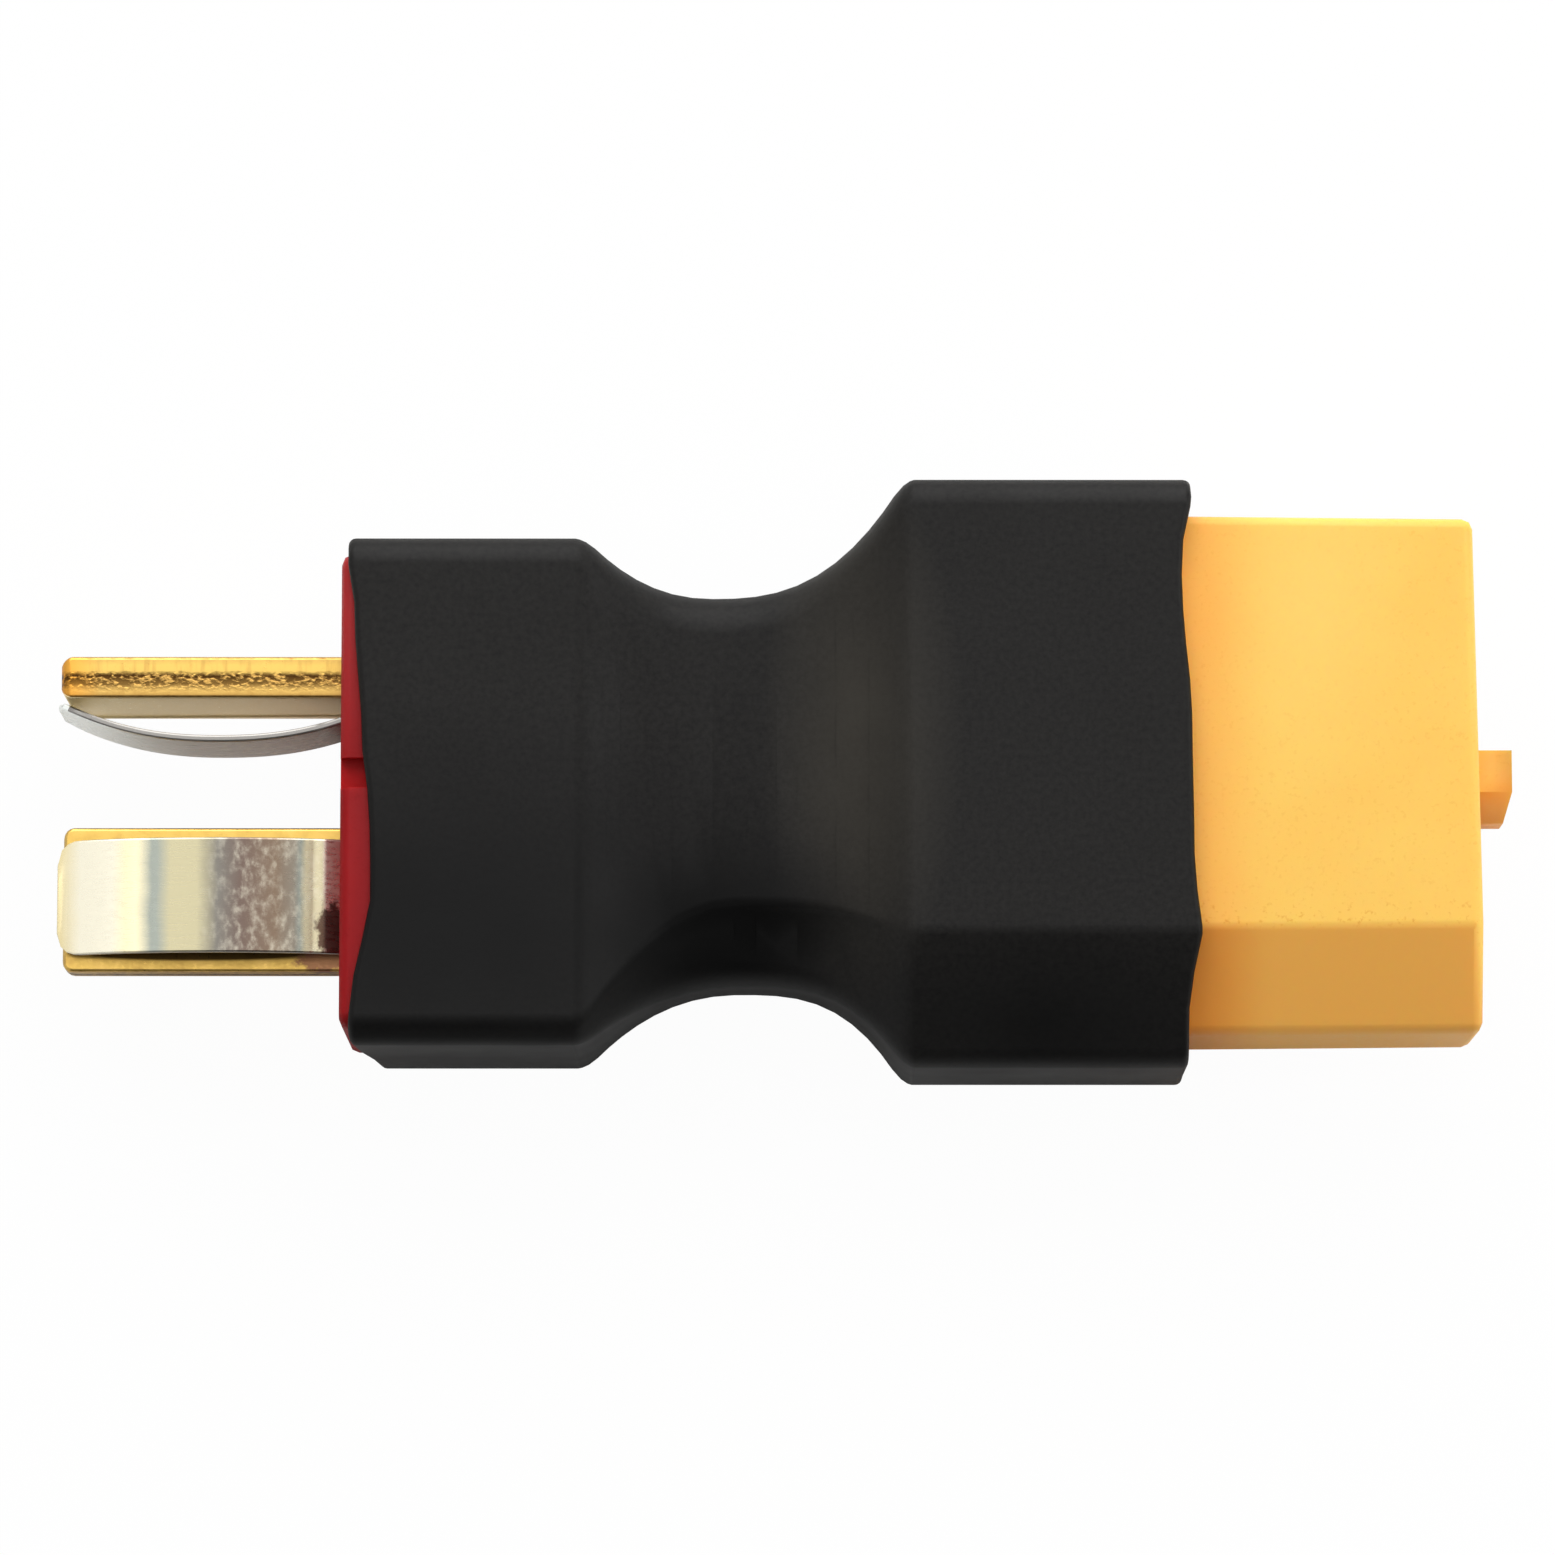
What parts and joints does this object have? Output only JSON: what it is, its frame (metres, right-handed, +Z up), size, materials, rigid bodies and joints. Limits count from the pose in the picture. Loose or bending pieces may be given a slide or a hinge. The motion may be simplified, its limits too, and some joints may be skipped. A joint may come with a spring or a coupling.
{
  "type": "battery connector adapter",
  "caption": "Inline adapter with a bladed T plug and leaf springs at one end, a chamfered nose with round sockets at the other, and a black heat-shrink sleeve over its waist.",
  "frame": {"origin": "centre of the adapter's footprint, on the surface that it lies on", "axes": "+X along the adapter from the blade tips to the mating key, +Y across its width towards the square side of the socket nose, +Z up through its thickness"},
  "size_m": [0.0416, 0.0166, 0.0088],
  "materials": {
    "black_shrink_tube": "satin",
    "red_nylon": "satin",
    "amber_nylon": "satin",
    "gold_plated_brass": "satin",
    "plated_spring_leaf": "satin",
    "solder": "satin"
  },
  "bodies": {
    "adapter": {"heat_shrink_sleeve": "black_shrink_tube", "t_plug_housing": "red_nylon", "upright_blade": "gold_plated_brass", "flat_blade": "gold_plated_brass", "socket_housing": "amber_nylon", "upper_socket_contact": "gold_plated_brass", "lower_socket_contact": "gold_plated_brass", "upper_solder_joint": "solder", "lower_solder_joint": "solder"},
    "upright_leaf": {"upright_leaf_spring": "plated_spring_leaf"},
    "flat_leaf": {"flat_leaf_spring": "plated_spring_leaf"}
  },
  "joints": [
    {"name": "upright_leaf_press", "type": "slide", "parent": "adapter", "child": "upright_leaf", "axis": [0, 1, 0], "range_m": [0, 0.0008], "stiffness_N_per_m": 12000, "deforming": ["upright_leaf_spring"]},
    {"name": "flat_leaf_press", "type": "slide", "parent": "adapter", "child": "flat_leaf", "axis": [0, 0, -1], "range_m": [0, 0.0008], "stiffness_N_per_m": 12000, "deforming": ["flat_leaf_spring"]}
  ]
}
